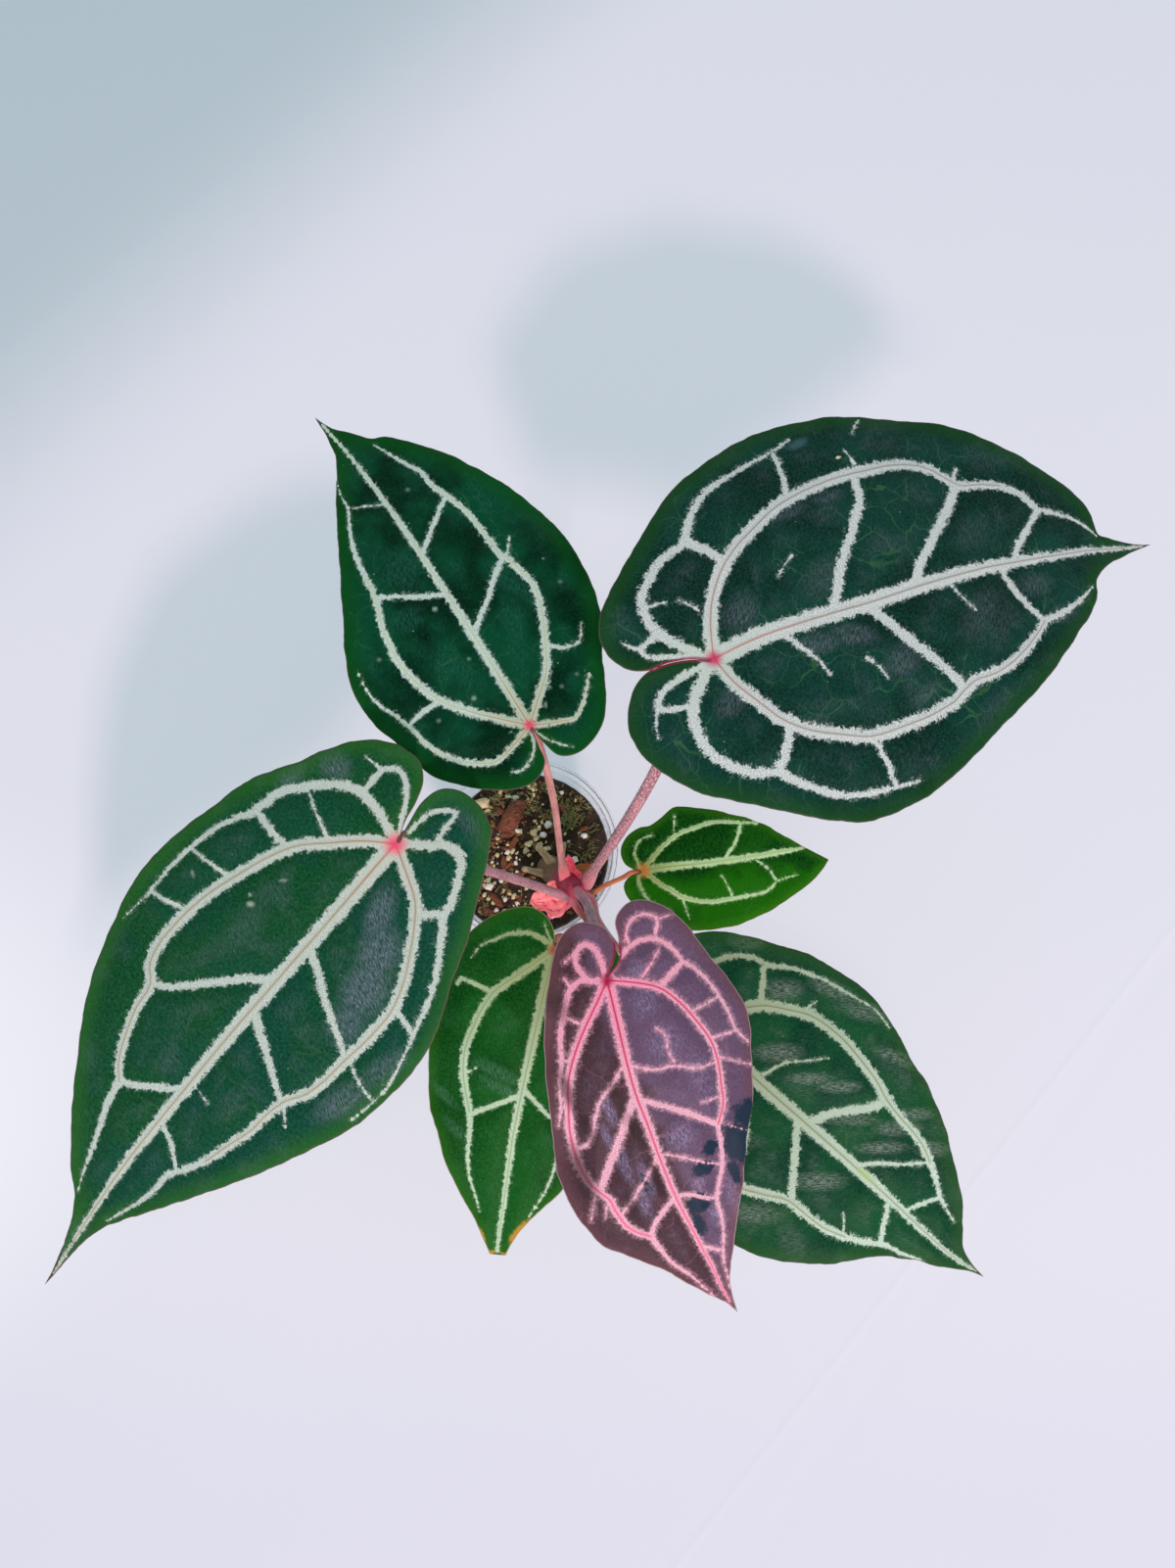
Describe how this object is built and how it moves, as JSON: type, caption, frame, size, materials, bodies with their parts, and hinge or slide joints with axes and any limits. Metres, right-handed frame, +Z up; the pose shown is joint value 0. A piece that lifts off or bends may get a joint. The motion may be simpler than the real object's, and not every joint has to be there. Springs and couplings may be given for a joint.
{
  "type": "potted anthurium hybrid",
  "caption": "Young velvet-leaved anthurium hybrid with heart-shaped leaves and silver or pink veins, on petioles from one leaning stem in a small clear nursery pot.",
  "frame": {"origin": "middle of the pot's flat underside", "axes": "+Z up along the pot's axis; +Y towards the upper left and upper right leaves, +X towards the largest leaf's tip"},
  "size_m": [0.5524, 0.4687, 0.2408],
  "materials": {
    "clear_pot": "thin clear moulded plastic",
    "potting_mix": "damp dark mix with perlite, pumice and bark",
    "stem": "matt, ringed with leaf scars",
    "coral_bract": "papery, ruffled",
    "scarlet_bract": "papery, smooth",
    "dry_brown": "dry and fibrous",
    "leaf_emerald": "velvet with silver veins",
    "leaf_blue_green": "velvet with wide silver veins",
    "leaf_deep_green": "velvet with silver veins",
    "leaf_bright_green": "satin with pale green veins",
    "leaf_purple": "glossy new leaf with pink veins",
    "petiole_salmon": "satin",
    "petiole_dusty_pink": "matt with fine speckles",
    "petiole_orange_brown": "satin",
    "petiole_mauve": "satin"
  },
  "bodies": {
    "root": {"pot": "clear_pot", "soil": "potting_mix", "stem": "stem", "bract_coral": "coral_bract", "bract_scarlet": "scarlet_bract", "bract_pink": "coral_bract", "bract_brown": "dry_brown", "stub_1": "dry_brown", "stub_2": "dry_brown", "stub_3": "dry_brown", "blade_upper_left": "leaf_emerald", "petiole_upper_left": "petiole_salmon", "blade_upper_right": "leaf_blue_green", "petiole_upper_right": "petiole_dusty_pink", "blade_left": "leaf_deep_green", "petiole_left": "petiole_dusty_pink", "blade_right_small": "leaf_bright_green", "petiole_right_small": "petiole_orange_brown", "blade_lower_middle": "leaf_bright_green", "petiole_lower_middle": "petiole_salmon", "blade_new_purple": "leaf_purple", "petiole_new_purple": "petiole_mauve", "blade_lower_right": "leaf_deep_green", "petiole_lower_right": "petiole_salmon"}
  },
  "joints": []
}
